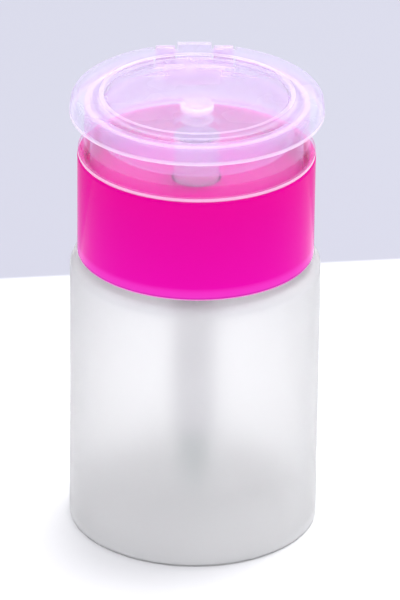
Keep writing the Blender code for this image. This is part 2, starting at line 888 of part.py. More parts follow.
finish_piece(make_bottle(), None, (0, 0, 0), frosted)
finish_piece(make_gasket(), head, (0, 0, gasket_bottom), seal_white)
finish_piece(make_collar(), collar_axis, (0, 0, collar_bottom), magenta)
finish_piece(make_guard_ring(), collar_axis, (0, 0, guard_bottom), natural)
finish_piece(make_lid(), lid_axis, (0, 0, lid_bottom), natural)
finish_piece(make_dish(), plunger, (0, 0, dish_floor_top), natural)
finish_piece(make_nozzle(), plunger, (0, 0, nozzle_plug_bottom), natural)
finish_piece(make_ball("outlet_ball", outlet_ball_radius), outlet_axis, (0, 0, outlet_ball_z), steel, pi)
finish_piece(make_stem(), plunger, (0, 0, stem_foot_bottom - stem_pilot_height), pump_white)
finish_piece(make_piston(), plunger, (0, 0, piston_top - piston_height), seal_white)
finish_piece(make_guide(), head, (0, 0, guide_sleeve_bottom), pump_white)
finish_piece(make_housing(), head, (0, 0, spigot_bottom), pump_white)
finish_piece(make_ball("inlet_ball", inlet_ball_radius), inlet_axis, (0, 0, inlet_ball_z), steel, pi)
finish_piece(make_dip_tube(), head, (0, 0, dip_tube_bottom), pump_white)
spring, spring_bottom = make_spring()
spring.data.materials.append(steel)
set_place(spring, head, (0, 0, spring_bottom))
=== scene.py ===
# %% [markdown]
# # A press dispenser for nail polish remover
#
# This lesson dresses a small bathroom bottle: a frosted bottle, a magenta screw collar, a see-through
# guard ring with a flip lid, and a dish that is pressed with a cotton pad to pump the remover up.
# The bodies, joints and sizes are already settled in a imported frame. It is loaded first, and every piece
# made here takes its place and its main sizes from it.

# %% Load the frame and keep its box
import json
from math import acos, asin, cos, pi, radians, sin, tan

import bmesh
import bpy
from mathutils import Matrix, Vector


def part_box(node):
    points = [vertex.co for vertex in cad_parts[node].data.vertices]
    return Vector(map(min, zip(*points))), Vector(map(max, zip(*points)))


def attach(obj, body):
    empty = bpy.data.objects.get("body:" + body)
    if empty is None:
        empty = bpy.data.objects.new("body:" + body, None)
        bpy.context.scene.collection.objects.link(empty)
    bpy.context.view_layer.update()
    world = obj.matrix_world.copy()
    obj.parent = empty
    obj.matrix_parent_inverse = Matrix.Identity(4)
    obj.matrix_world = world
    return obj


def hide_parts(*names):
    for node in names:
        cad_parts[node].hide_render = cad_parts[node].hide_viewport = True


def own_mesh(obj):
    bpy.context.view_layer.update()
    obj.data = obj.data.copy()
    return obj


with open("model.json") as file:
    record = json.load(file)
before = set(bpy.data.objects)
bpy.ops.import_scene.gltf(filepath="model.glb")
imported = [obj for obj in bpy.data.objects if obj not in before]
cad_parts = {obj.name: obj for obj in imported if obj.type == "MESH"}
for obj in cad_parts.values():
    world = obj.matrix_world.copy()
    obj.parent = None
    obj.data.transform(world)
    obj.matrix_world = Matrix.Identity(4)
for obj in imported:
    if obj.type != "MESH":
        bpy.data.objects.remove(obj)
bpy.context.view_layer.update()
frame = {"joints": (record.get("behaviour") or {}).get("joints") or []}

# %% [markdown]
# ## Stand where the photographer stood
#
# The picture looks down at about 26 degrees through a long lens, so the round edges become clean ellipses
# and the sides hardly converge. A camera can be placed by eye, but here its distance and focal length were
# fitted to the ellipses of the lid, the collar and the foot. The fit is written as a focal length in pixels,
# and turned into millimetres of lens for a sensor as long as the picture's long side.

# %% Camera
IMAGE_LONG_SIDE_PX = 600
FOCAL_LENGTH_PX = 6216
CAMERA_DISTANCE = 1.1187
CAMERA_AZIMUTH = radians(-1.7)
CAMERA_ELEVATION = radians(26.53)
CAMERA_ROLL = radians(0.67)
AIM_HEIGHT = 0.0425
AIM_TO_THE_RIGHT = 0.0009
SENSOR_MM = 36


def make_camera():
    right = Vector((cos(CAMERA_AZIMUTH), sin(CAMERA_AZIMUTH), 0))
    level = Vector((sin(CAMERA_AZIMUTH), -cos(CAMERA_AZIMUTH), 0))
    back = level * cos(CAMERA_ELEVATION) + Vector((0, 0, sin(CAMERA_ELEVATION)))
    aim = Vector((0, 0, AIM_HEIGHT)) + right * AIM_TO_THE_RIGHT
    data = bpy.data.cameras.new("photo_camera")
    data.sensor_width = SENSOR_MM
    data.lens = FOCAL_LENGTH_PX * SENSOR_MM / IMAGE_LONG_SIDE_PX
    data.clip_end = 20
    camera = bpy.data.objects.new("photo_camera", data)
    bpy.context.scene.collection.objects.link(camera)
    place = Matrix.Translation(aim + back * CAMERA_DISTANCE)
    turn = back.to_track_quat("Z", "Y").to_matrix().to_4x4()
    camera.matrix_world = place @ turn @ Matrix.Rotation(CAMERA_ROLL, 4, "Z")
    bpy.context.scene.camera = camera
    return camera


camera = make_camera()
print("lens, mm:", round(camera.data.lens, 1), "camera at:", [round(v, 3) for v in camera.location])

# %% [markdown]
# ## Node helpers
#
# Every finish below is a small node tree round one Principled shader. A few helpers keep the trees short:
# they make the shader, add fine bumps, let a value wander with a noise, and turn the height of a point or
# the slant of a surface into a colour. Textures use object coordinates, so the grain stays with the piece
# and needs no unwrapping. Some finishes also read a number from each face, its milk, which is set where
# the pieces are made. On the collar and the natural plastics the milk also paints highlights and glow into
# the colour.

# %% Helpers for materials


def new_finish(name, colour, roughness, **sockets):
    """A material with one Principled shader. Other sockets are given by name, with _ for a space."""
    material = bpy.data.materials.new(name)
    material.use_nodes = True
    shader = material.node_tree.nodes["Principled BSDF"]
    shader.inputs["Base Color"].default_value = (*colour, 1)
    shader.inputs["Roughness"].default_value = roughness
    for socket, value in sockets.items():
        shader.inputs[socket.replace("_", " ")].default_value = value
    return material


def add_node(material, kind, **values):
    node = material.node_tree.nodes.new(kind)
    for key, value in values.items():
        if key in node.inputs:
            node.inputs[key].default_value = value
        else:
            setattr(node, key, value)
    return node


def join(material, source, output, target, socket):
    material.node_tree.links.new(source.outputs[output], target.inputs[socket])


def add_noise(material, scale, detail=2.0, stretch=(1, 1, 1)):
    """A noise on object coordinates. scale is its number of blobs in a metre."""
    place = add_node(material, "ShaderNodeTexCoord")
    mapping = add_node(material, "ShaderNodeMapping")
    mapping.inputs["Scale"].default_value = stretch
    noise = add_node(material, "ShaderNodeTexNoise", Scale=scale, Detail=detail)
    join(material, place, "Object", mapping, "Vector")
    join(material, mapping, "Vector", noise, "Vector")
    return noise


def add_bumps(material, noise, height, strength=1.0):
    shader = material.node_tree.nodes["Principled BSDF"]
    bump = add_node(material, "ShaderNodeBump", Strength=strength, Distance=height)
    join(material, noise, "Fac", bump, "Height")
    join(material, bump, "Normal", shader, "Normal")


NOISE_LOW = 0.3
NOISE_HIGH = 0.7


def wander(material, noise, socket, low, high):
    """Lets a value of the shader wander between two limits."""
    shader = material.node_tree.nodes["Principled BSDF"]
    spread = add_node(material, "ShaderNodeMapRange")
    spread.inputs["From Min"].default_value = NOISE_LOW
    spread.inputs["From Max"].default_value = NOISE_HIGH
    spread.inputs["To Min"].default_value = low
    spread.inputs["To Max"].default_value = high
    join(material, noise, "Fac", spread, "Value")
    join(material, spread, "Result", shader, socket)


def tint(material, noise, first, second):
    """Mixes two near colours by a noise, for the uneven colour of moulded plastic."""
    shader = material.node_tree.nodes["Principled BSDF"]
    ramp = add_ramp(material, noise, "Fac", (0.35, first), (0.65, second))
    join(material, ramp, "Color", shader, "Base Color")


def add_height(material, low, high):
    """The height of a point, as a number that goes from 0 at low to 1 at high."""
    place = add_node(material, "ShaderNodeTexCoord")
    apart = add_node(material, "ShaderNodeSeparateXYZ")
    share = add_node(material, "ShaderNodeMapRange")
    share.inputs["From Min"].default_value = low
    share.inputs["From Max"].default_value = high
    join(material, place, "Object", apart, "Vector")
    join(material, apart, "Z", share, "Value")
    return share


def add_ramp(material, source, output, *stops):
    """Colours for a number. Each stop is a position and a colour, or a position and a grey."""
    ramp = add_node(material, "ShaderNodeValToRGB")
    elements = ramp.color_ramp.elements
    while len(elements) < len(stops):
        elements.new(1.0)
    for element, (position, colour) in zip(elements, stops):
        element.position = position
        element.color = (*colour, 1) if isinstance(colour, tuple) else (colour, colour, colour, 1)
    join(material, source, output, ramp, "Fac")
    return ramp


def times_plus(material, source, output, factor, other, other_output):
    """One number times a factor, plus another number, kept between 0 and 1."""
    total = add_node(material, "ShaderNodeMath", operation="MULTIPLY_ADD", use_clamp=True)
    total.inputs[1].default_value = factor
    join(material, source, output, total, 0)
    join(material, other, other_output, total, 2)
    return total


# %% [markdown]
# ## Frosted bottle
#
# The bottle is a milky plastic with a matt skin. Light goes through it but its direction is lost, so what
# stands inside shows only as a soft grey shape. A thin white coat of paint would hide the inside, and clear
# glass would show it sharply. A rough transmission between the two gives the blur, and a fine noise in the
# bump gives the skin its frost. The floor is thicker than the wall, so less light goes through it. The milk
# of its faces says how much, from 0 on the thin wall to 1 on the inside of the floor.

# %% Frosted finish
# Milk is the plastic's cloudiness; on the collar and the natural plastics it also paints highlights and glow
# into the colour.
MILK_AND_PAINTED_LIGHT = "milk_and_painted_light"
WALL_CLEARNESS = 0.82
FLOOR_CLEARNESS = 0.12

frosted = new_finish(
    "frosted_bottle_plastic",
    (0.955, 0.955, 0.955),
    0.42,
    IOR=1.25,
    Specular_IOR_Level=0.35,
)
frost = add_noise(frosted, 2500, detail=3)
add_bumps(frosted, frost, 0.00002, strength=0.4)
skin = add_noise(frosted, 90)
wander(frosted, skin, "Roughness", 0.38, 0.46)
tint(frosted, skin, (0.952, 0.952, 0.952), (0.96, 0.96, 0.96))
thickness = add_node(frosted, "ShaderNodeAttribute", attribute_name=MILK_AND_PAINTED_LIGHT)
clearness = add_node(frosted, "ShaderNodeMapRange")
clearness.inputs["To Min"].default_value = WALL_CLEARNESS
clearness.inputs["To Max"].default_value = FLOOR_CLEARNESS
join(frosted, thickness, "Fac", clearness, "Value")
join(frosted, clearness, "Result", frosted.node_tree.nodes["Principled BSDF"], "Transmission Weight")
print("frosted nodes:", len(frosted.node_tree.nodes))

# %% [markdown]
# ## Magenta collar
#
# The collar is dyed right through and polished. Where light passes one wall it glows a lighter pink, at the
# sides and along the foot, and where the inner skirt stands behind the wall it is deep magenta. A surface
# colour alone would be even all over, so part of the light is let through. The colour also follows the
# height,
# with light and shade painted into it: a painted dark line of shade at the very edge of the foot, a painted
# lighter band of glow along the foot, below the skirt, and a redder magenta towards the top. Milk mixes in a
# pale pink, a painted highlight on the rounded edge of the foot and a little painted glow on the deck
# inside.

# %% Magenta finish
COLLAR_FOOT = 0.0528
COLLAR_RIM = 0.0718
# A pale pink: a painted highlight on the foot's edge and painted glow on the deck.
PAINTED_LIGHT_PINK = (1.0, 0.36, 0.80)

# A Mix node keeps sockets for every kind of data. These are the places of the ones for colours.
MIX_SHARE = 0
MIX_FIRST = 6
MIX_SECOND = 7
MIX_RESULT = 2

magenta = new_finish(
    "magenta_gloss_plastic",
    (0.90, 0.001, 0.44),
    0.10,
    Transmission_Weight=0.15,
    IOR=1.2,
    Specular_IOR_Level=0.1,
)
flow = add_noise(magenta, 60, stretch=(1, 1, 0.25))
wander(magenta, flow, "Roughness", 0.08, 0.15)
collar_height = add_height(magenta, COLLAR_FOOT, COLLAR_RIM)
# Colour by height, with light and shade painted in: a dark painted shade line at the foot's edge, a lighter
# painted band of glow above it, then magenta that grows redder upwards.
depth = add_ramp(
    magenta, collar_height, "Result",
    (0.018, (0.62, 0.010, 0.36)),
    (0.040, (0.93, 0.040, 0.60)),
    (0.085, (0.93, 0.030, 0.56)),
    (0.130, (0.87, 0.0010, 0.44)),
    (0.450, (0.86, 0.0006, 0.40)),
    (1.000, (0.86, 0.0006, 0.34)),
)
# Milk mixes in the pale pink of the painted highlight and glow.
rim = add_node(magenta, "ShaderNodeAttribute", attribute_name=MILK_AND_PAINTED_LIGHT)
dye_and_painted_light = add_node(magenta, "ShaderNodeMix", data_type="RGBA")
dye_and_painted_light.inputs[MIX_SECOND].default_value = (*PAINTED_LIGHT_PINK, 1)
join(magenta, rim, "Fac", dye_and_painted_light, MIX_SHARE)
join(magenta, depth, "Color", dye_and_painted_light, MIX_FIRST)
join(magenta, dye_and_painted_light, MIX_RESULT, magenta.node_tree.nodes["Principled BSDF"], "Base Color")
print("magenta nodes:", len(magenta.node_tree.nodes))

# %% [markdown]
# ## Natural plastic of the ring, the lid and the dish
#
# Undyed plastic is clear with a little milk in it. Flat walls almost vanish, a wall seen at a slant is
# hazier, because light has a longer way through it, and rims and steps catch the light as thin bright lines.
# Glass with real refraction makes dark bands in walls this thin. Here the plastic is a
# film instead: the alpha of each surface is its haze, and Layer Weight gives the slant. Milk on the small
# fillets and the ends of walls paints the bright lines in as painted highlights, with a pale colour and
# more haze, and milk below 0 clears the faces that hardly show.
# The haze scatters light below its surface, so it glows. Its lilac is painted light: the film colours hold
# the pink glow of the magenta collar below, as well as the room's light, over the plastic's own pale white.

# %% Natural finish
LIGHT_REACH = 0.002
BOSS_REACH = 0.0005
CLOUD_SHARE = 0.08
# The rims' colours are painted highlights.
RIM_PAINTED_HIGHLIGHT_WHITE = (0.90, 0.80, 0.96)
RIM_PAINTED_HIGHLIGHT_ROSE = (0.97, 0.70, 0.97)
# The boss's near-white is its milkiness with painted glow in it.
BOSS_WHITE_WITH_PAINTED_GLOW = (1.0, 0.94, 1.0)


def make_natural(name, film, painted_rim_colour, rim_haze, *slants, reach=LIGHT_REACH):
    """Undyed plastic as a film of one colour, below whose surface light travels as far as reach.

    Each slant is how far a surface turns away, from 0 straight on to 1 edge on, with its haze there. Milk
    mixes in the rim's colour, a painted highlight, and adds its own share of rim_haze to the haze.
    """
    material = new_finish(name, film, 0.25, IOR=1.45, Specular_IOR_Level=0.4, Subsurface_Weight=1.0)
    shader = material.node_tree.nodes["Principled BSDF"]
    shader.inputs["Subsurface Radius"].default_value = (1, 1, 1)
    shader.inputs["Subsurface Scale"].default_value = reach
    melt = add_noise(material, 70)
    wander(material, melt, "Roughness", 0.2, 0.3)
    milk_and_painted_light = add_node(material, "ShaderNodeAttribute", attribute_name=MILK_AND_PAINTED_LIGHT)
    cloud_and_painted_highlight = times_plus(material, melt, "Fac", CLOUD_SHARE, milk_and_painted_light, "Fac")
    colour = add_ramp(material, cloud_and_painted_highlight, "Value", (0.0, film), (1.0, painted_rim_colour))
    join(material, colour, "Color", shader, "Base Color")
    turned_away = add_node(material, "ShaderNodeLayerWeight", Blend=0.5)
    haze = add_ramp(material, turned_away, "Facing", *slants)
    alpha = times_plus(material, milk_and_painted_light, "Fac", rim_haze, haze, "Color")
    join(material, alpha, "Value", shader, "Alpha")
    return material


# The lilac and pink of each film is painted light, the glow of the magenta collar below.
natural_lid = make_natural(
    "natural_lid_plastic", (0.70, 0.62, 0.92), RIM_PAINTED_HIGHLIGHT_WHITE, 0.5,
    (0.0, 0.10), (0.55, 0.14), (0.8, 0.30), (1.0, 0.6)
)
natural_ring = make_natural(
    "natural_ring_plastic", (0.76, 0.58, 0.97), RIM_PAINTED_HIGHLIGHT_ROSE, 0.5,
    (0.0, 0.14), (0.55, 0.18), (0.75, 0.28), (0.9, 0.50), (1.0, 0.80)
)
natural_dish = make_natural(
    "natural_dish_plastic", (0.76, 0.52, 0.98), BOSS_WHITE_WITH_PAINTED_GLOW, 1.0,
    (0.0, 0.06), (0.55, 0.13), (1.0, 0.28), reach=BOSS_REACH
)
natural_nozzle = make_natural(
    "natural_nozzle_plastic", (0.88, 0.80, 0.96), RIM_PAINTED_HIGHLIGHT_WHITE, 0.5,
    (0.0, 0.30), (0.55, 0.42), (1.0, 0.6)
)
for natural in (natural_lid, natural_ring, natural_dish, natural_nozzle):
    print(natural.name, "nodes:", len(natural.node_tree.nodes))

# %% [markdown]
# ## The pump's plastics and its steel
#
# The pump hangs inside, so its white mouldings only show as a shadow through the frost, but they are
# finished all the same: a plain white for the mouldings, a softer one for the seals, and a bright drawn
# steel for the spring and the balls. The dip tube and the foot of the housing are greyer, since the steel
# ball shows through the housing's wall. A noise stretched along Z gives the steel its fine drawn grain.

# %% Finishes of the pump
BALL_ZONE = 0.0150
SPRING_ZONE = 0.0190
pump_white = new_finish("pump_white_plastic", (0.84, 0.83, 0.86), 0.35, Specular_IOR_Level=0.4)
pump_flow = add_noise(pump_white, 120, stretch=(1, 1, 0.3))
wander(pump_white, pump_flow, "Roughness", 0.30, 0.42)
valve_height = add_height(pump_white, BALL_ZONE, SPRING_ZONE)
valve_shade = add_ramp(
    pump_white, valve_height, "Result",
    (0.0, (0.46, 0.52, 0.51)),
    (0.8, (0.82, 0.81, 0.84)),
    (1.0, (0.85, 0.84, 0.87)),
)
join(pump_white, valve_shade, "Color", pump_white.node_tree.nodes["Principled BSDF"], "Base Color")

tube_grey = new_finish("dip_tube_plastic", (0.50, 0.56, 0.55), 0.30, Specular_IOR_Level=0.4)
tube_flow = add_noise(tube_grey, 200, stretch=(1, 1, 0.2))
wander(tube_grey, tube_flow, "Roughness", 0.25, 0.38)
tint(tube_grey, tube_flow, (0.47, 0.53, 0.52), (0.52, 0.58, 0.57))

seal_white = new_finish("soft_seal_plastic", (0.90, 0.90, 0.87), 0.62, Specular_IOR_Level=0.3)
seal_grain = add_noise(seal_white, 900)
add_bumps(seal_white, seal_grain, 0.00001, strength=0.3)
tint(seal_white, seal_grain, (0.88, 0.88, 0.85), (0.92, 0.92, 0.90))

steel = new_finish("bright_steel", (0.60, 0.61, 0.61), 0.2, Metallic=1.0)
drawn = add_noise(steel, 1500, stretch=(1, 1, 0.2))
wander(steel, drawn, "Roughness", 0.15, 0.30)
add_bumps(steel, drawn, 0.000005, strength=0.2)
for finish in (pump_white, tube_grey, seal_white, steel):
    print(finish.name, "nodes:", len(finish.node_tree.nodes))

# %% [markdown]
# ## Turning a profile
#
# Nearly every piece of a bottle is turned: half its section, swept once round the axis. Blender's Screw
# modifier does that, and so do rings of points joined by faces. Rings are used here because a ring can
# also swell and shrink as it goes round, and that is all a screw thread is. Each corner of a profile is
# written as radius, height and fillet, and the fillets become arcs. The faces on small fillets, and on the
# narrow ends of walls between them, are rims and get a milk of 1, unless the piece has a rule of its own.
# On the natural plastics that milk is a painted highlight along the rim.

# %% Helpers for turned pieces
LARGE_STEPS = 128
SMALL_STEPS = 64
ARC_STEP = radians(15)
ON_AXIS = 1e-9
SMALL_FILLET = 0.0004
RIM_WIDTH = 0.0007


def arc_points(corner, before, after, fillet):
    """Points of the arc that rounds one corner of a profile."""
    to_before = (before - corner).normalized()
    to_after = (after - corner).normalized()
    half = to_before.angle(to_after) / 2
    start = corner + to_before * fillet / tan(half)
    middle = corner + (to_before + to_after).normalized() * fillet / sin(half)
    spoke = start - middle
    sweep = pi - 2 * half
    facets = max(2, round(sweep / ARC_STEP))
    if to_before.x * to_after.y - to_before.y * to_after.x > 0:
        sweep = -sweep
    turns = [sweep * step / facets for step in range(facets + 1)]
    return [middle + turned_by(spoke, turn) for turn in turns]


def turned_by(spoke, turn):
    return Vector((spoke.x * cos(turn) - spoke.y * sin(turn), spoke.x * sin(turn) + spoke.y * cos(turn)))


def round_corners(corners, closed):
    """The points of a profile, and for each one whether it lies on a small fillet."""
    flat = [Vector((radius, height)) for radius, height, fillet in corners]
    last = len(flat) - 1
    points = []
    small = []
    for index, (radius, height, fillet) in enumerate(corners):
        if fillet == 0 or (not closed and index in (0, last)):
            bend = [flat[index]]
        else:
            bend = arc_points(flat[index], flat[index - 1], flat[(index + 1) % len(flat)], fillet)
        points += bend
        small += [0 < fillet <= SMALL_FILLET] * len(bend)
    return points, small


def milk_between(points, small, milky):
    """How milky each row of faces is: 1 on a rim, unless milky(radius, height, rim) says otherwise. On the
    natural plastics this is a painted highlight on the rim.
    """
    milk_and_painted_light = []
    for index, point in enumerate(points):
        after = (index + 1) % len(points)
        rim = small[index] and small[after] and (points[after] - point).length < RIM_WIDTH
        middle = (point + points[after]) / 2
        milk_and_painted_light.append(milky(middle.x, middle.y, rim) if milky else float(rim))
    return milk_and_painted_light


def new_piece(name, shape):
    """Turns a bmesh into an object of the scene."""
    mesh = bpy.data.meshes.new(name)
    shape.to_mesh(mesh)
    shape.free()
    piece = bpy.data.objects.new(name, mesh)
    bpy.context.scene.collection.objects.link(piece)
    return piece


def mark_faces(piece, milk_and_painted_light):
    layer = piece.data.attributes.new(MILK_AND_PAINTED_LIGHT, "FLOAT", "FACE")
    layer.data.foreach_set("value", milk_and_painted_light)


def turned(name, corners, closed=True, steps=LARGE_STEPS, swell=None, milky=None):
    """A turned piece. swell(radius, height, angle) gives the radius of a point that a thread moves."""
    points, small = round_corners(corners, closed)
    shape = bmesh.new()
    rings = []
    for point in points:
        if abs(point.x) < ON_AXIS:
            rings.append([shape.verts.new((0, 0, point.y))])
            continue
        ring = []
        for step in range(steps):
            angle = 2 * pi * step / steps
            radius = swell(point.x, point.y, angle) if swell else point.x
            ring.append(shape.verts.new((radius * cos(angle), radius * sin(angle), point.y)))
        rings.append(ring)
    pairs = list(zip(rings, rings[1:]))
    if closed:
        pairs.append((rings[-1], rings[0]))
    for one, other in pairs:
        for step in range(steps):
            after = (step + 1) % steps
            if len(one) == 1:
                shape.faces.new((one[0], other[step], other[after]))
            elif len(other) == 1:
                shape.faces.new((one[step], other[0], one[after]))
            else:
                shape.faces.new((one[step], other[step], other[after], one[after]))
    bmesh.ops.recalc_face_normals(shape, faces=shape.faces)
    piece = new_piece(name, shape)
    milk_of_rows = milk_between(points, small, milky)[:len(pairs)]
    mark_faces(piece, [milk_and_painted_light for milk_and_painted_light in milk_of_rows for step in range(steps)])
    return piece


SHARP_ANGLE = radians(32)


def dress(piece, material, body, slot, *nodes):
    """Shades a piece, gives it its finish and seats it on its body in place of the solids it stands for."""
    piece.data.materials.clear()
    piece.data.materials.append(material)
    piece.data.shade_smooth()
    piece.data.set_sharp_from_angle(angle=SHARP_ANGLE)
    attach(piece, body)
    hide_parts(*nodes)


def report(piece):
    size = [round(1000 * value, 2) for value in piece.dimensions]
    print(piece.name, "mm:", size, "points:", len(piece.data.vertices))


# %% [markdown]
# ## The bottle
#
# The bottle is one shell: floor with a shallow push-up, straight wall, shoulder and threaded neck. Because
# the plastic lets light through, the inside surface matters as much as the outside, so the profile runs up
# the inside, over the lip and down the outside. The thread is a swelling of the neck that climbs one pitch
# in each turn and fades out at both ends. In the picture the wall looks milkier near the floor, so its milk
# rises row by row down there.

# %% Thread shape
THREAD_PITCH = 0.003
THREAD_TURNS = 2.2
THREAD_FADE_TURNS = 0.12
RIDGE_FOOT_SHARE = 0.40
RIDGE_TOP_SHARE = 0.14
THREAD_ROWS = 64


def ridge_height(height, angle, start):
    """How far up its ridge a point of a thread lies, from 0 in the valley to 1 on top."""
    turns = (height - start) / THREAD_PITCH - angle / (2 * pi)
    nearest = round(turns)
    along = nearest + angle / (2 * pi)
    off = abs(turns - nearest)
    side = (RIDGE_FOOT_SHARE / 2 - off) / (RIDGE_FOOT_SHARE / 2 - RIDGE_TOP_SHARE / 2)
    fade = min(along, THREAD_TURNS - along) / THREAD_FADE_TURNS
    return max(0.0, min(1.0, side)) * max(0.0, min(1.0, fade))


def rows(radius, low, high, count):
    """Extra rings on a straight wall, where a thread is formed or the milk changes."""
    return [(radius, low + (high - low) * row / count, 0) for row in range(count + 1)]


# %% Bottle shell
bottle_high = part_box("bottle")[1]
bottle_radius = bottle_high.x
neck_top = bottle_high.z
shoulder_z = 0.0515
bottle_wall = 0.0011
bottle_floor = 0.0014
foot_radius = 0.0005
shoulder_radius = 0.0016
push_up = 0.0008
push_up_edge = bottle_radius - 0.0035
push_up_top = push_up_edge - 0.0012
neck_radius = 0.0153
neck_bore = 0.0136
neck_root = 0.0006
neck_lip = 0.0003
thread_height = 0.0006
thread_start = 0.0558
thread_low = 0.0546
thread_high = 0.0634
floor_top = push_up + bottle_floor
heel_top = 0.0130

FOOT_MILK = 0.6
FOOT_EDGE_MILK = 0.15
HEEL_MILK = 0.3
HEEL_ROWS = 12


def bottle_milk(radius, height, rim):
    """The floor's inside lets the least light through, and the wall gets milkier towards its foot."""
    if radius > bottle_radius - foot_radius:
        if height < foot_radius:
            return FOOT_EDGE_MILK
        if height < floor_top:
            return FOOT_MILK
        return HEEL_MILK * max(0.0, (heel_top - height) / (heel_top - floor_top))
    inside = bottle_floor - ON_AXIS < height < floor_top + ON_AXIS
    return float(inside and radius < bottle_radius - bottle_wall)


def neck_swell(radius, height, angle):
    if radius < neck_radius - ON_AXIS or not thread_low < height < thread_high:
        return radius
    return radius + thread_height * ridge_height(height, angle, thread_start)


bottle = turned("bottle_shell", [
    (0, floor_top, 0),
    (push_up_top, floor_top, 0.002),
    (push_up_edge, bottle_floor, 0.001),
    (bottle_radius - bottle_wall, bottle_floor, foot_radius),
    (bottle_radius - bottle_wall, shoulder_z - bottle_wall, shoulder_radius),
    (neck_bore, shoulder_z - bottle_wall, neck_root),
    (neck_bore, neck_top, neck_lip),
    (neck_radius, neck_top, neck_lip),
    *rows(neck_radius, thread_high, thread_low, THREAD_ROWS),
    (neck_radius, shoulder_z, neck_root),
    (bottle_radius, shoulder_z, shoulder_radius),
    *rows(bottle_radius, heel_top, floor_top, HEEL_ROWS),
    (bottle_radius, 0, foot_radius),
    (push_up_edge, 0, 0.0004),
    (push_up_top, push_up, 0.002),
    (0, push_up, 0),
], closed=False, swell=neck_swell, milky=bottle_milk)
dress(bottle, frosted, "bottle", "frosted", "bottle")
report(bottle)

# %% [markdown]
# ## The collar
#
# The collar has two walls. The outer one is what the hand turns, and the inner one is threaded and screws
# onto the neck. A deck joins them, with a round hole for the pump's boss, and the rim above the deck takes
# the guard ring. The two walls are why its colour is deep in the middle and lighter at the rim.

# %% Collar ring
collar_low, collar_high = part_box("collar")
collar_radius = collar_high.x
collar_wall = 0.0012
collar_inner = collar_radius - collar_wall
deck_top = 0.0672
deck_bottom = 0.0664
deck_hole = 0.00437
skirt_bore = 0.01635
skirt_outer = skirt_bore + 0.0011
skirt_bottom = collar_low.z + 0.0012
bead_bore = 0.01545
bead_top = 0.0652
bead_height = 0.0008
groove_radius = collar_inner + 0.0004
groove_top = collar_high.z - 0.0021
groove_bottom = groove_top - 0.0010
edge_round = 0.00035
collar_thread_start = thread_start + THREAD_PITCH / 2

# The deck's pale pink is painted glow.
DECK_PAINTED_GLOW = 0.12


def skirt_swell(radius, height, angle):
    if abs(radius - skirt_bore) > ON_AXIS or not thread_low < height < thread_high:
        return radius
    return radius - thread_height * ridge_height(height, angle, collar_thread_start)


def collar_painted_light(radius, height, rim):
    """The outer edge of the foot gets a painted highlight, and the deck a little painted glow, for the light
    that comes through it.
    """
    if radius < collar_inner - ON_AXIS and height > deck_top - ON_AXIS:
        return DECK_PAINTED_GLOW
    return float(rim and radius > collar_radius - edge_round and height < deck_bottom)


collar = turned("collar_ring", [
    (collar_radius, collar_high.z, edge_round),
    (collar_radius, collar_low.z, edge_round),
    (collar_inner, collar_low.z, edge_round),
    (collar_inner, deck_bottom, 0.0004),
    (skirt_outer, deck_bottom, 0.0004),
    (skirt_outer, skirt_bottom, 0.0003),
    (skirt_bore, skirt_bottom, 0.0003),
    *rows(skirt_bore, thread_low, thread_high, THREAD_ROWS),
    (skirt_bore, bead_top - bead_height, 0),
    (bead_bore, bead_top - bead_height / 2, 0.0001),
    (bead_bore, bead_top, 0.0001),
    (skirt_bore, bead_top, 0),
    (skirt_bore, deck_bottom, 0),
    (deck_hole, deck_bottom, 0),
    (deck_hole, deck_top, 0.0002),
    (collar_inner, deck_top, 0.0004),
    (collar_inner, groove_bottom, 0),
    (groove_radius, groove_bottom, 0),
    (groove_radius, groove_top, 0),
    (collar_inner, groove_top, 0),
    (collar_inner, collar_high.z, edge_round),
], swell=skirt_swell, milky=collar_painted_light)
dress(collar, magenta, "collar", "magenta", "collar")
report(collar)

# %% [markdown]
# ## Cutting and joining
#
# The hinge can't be turned. Its block, lugs and knuckle are flat outlines drawn out sideways, with their
# long edges bevelled as a mould rounds them, and they are joined to the turned ring and lid by Boolean
# modifiers. Cutters are deleted once they have done their work.

# %% Helpers for the hinge
BEVEL_SEGMENTS = 2
ROD_STEPS = 32
BLOCK_MILK = 0.35


def block_from_outline(name, outline, left, right, bevel):
    """A closed (y, z) outline drawn out along X, with its edges rounded."""
    shape = bmesh.new()
    face = shape.faces.new([shape.verts.new((left, y, z)) for y, z in outline])
    grown = bmesh.ops.extrude_face_region(shape, geom=[face])["geom"]
    moved = [item for item in grown if isinstance(item, bmesh.types.BMVert)]
    bmesh.ops.translate(shape, verts=moved, vec=(right - left, 0, 0))
    if bevel:
        sharp = [edge for edge in shape.edges if edge.calc_face_angle(0) > SHARP_ANGLE]
        bmesh.ops.bevel(
            shape, geom=sharp, offset=bevel, segments=BEVEL_SEGMENTS, profile=0.5, affect="EDGES"
        )
    bmesh.ops.recalc_face_normals(shape, faces=shape.faces)
    block = new_piece(name, shape)
    mark_faces(block, [BLOCK_MILK] * len(block.data.polygons))
    return block


def box_from_corners(name, low, high, bevel=0.0):
    outline = [(low[1], low[2]), (high[1], low[2]), (high[1], high[2]), (low[1], high[2])]
    return block_from_outline(name, outline, low[0], high[0], bevel)


def rod(name, radius, start, end, steps=ROD_STEPS):
    """A closed round rod between two points."""
    start, end = Vector(start), Vector(end)
    along = end - start
    shape = bmesh.new()
    bmesh.ops.create_cone(
        shape, cap_ends=True, segments=steps, radius1=radius, radius2=radius, depth=along.length
    )
    bmesh.ops.rotate(shape, verts=shape.verts, matrix=along.to_track_quat("Z", "Y").to_matrix())
    bmesh.ops.translate(shape, verts=shape.verts, vec=(start + end) / 2)
    made = new_piece(name, shape)
    mark_faces(made, [BLOCK_MILK] * len(made.data.polygons))
    return made


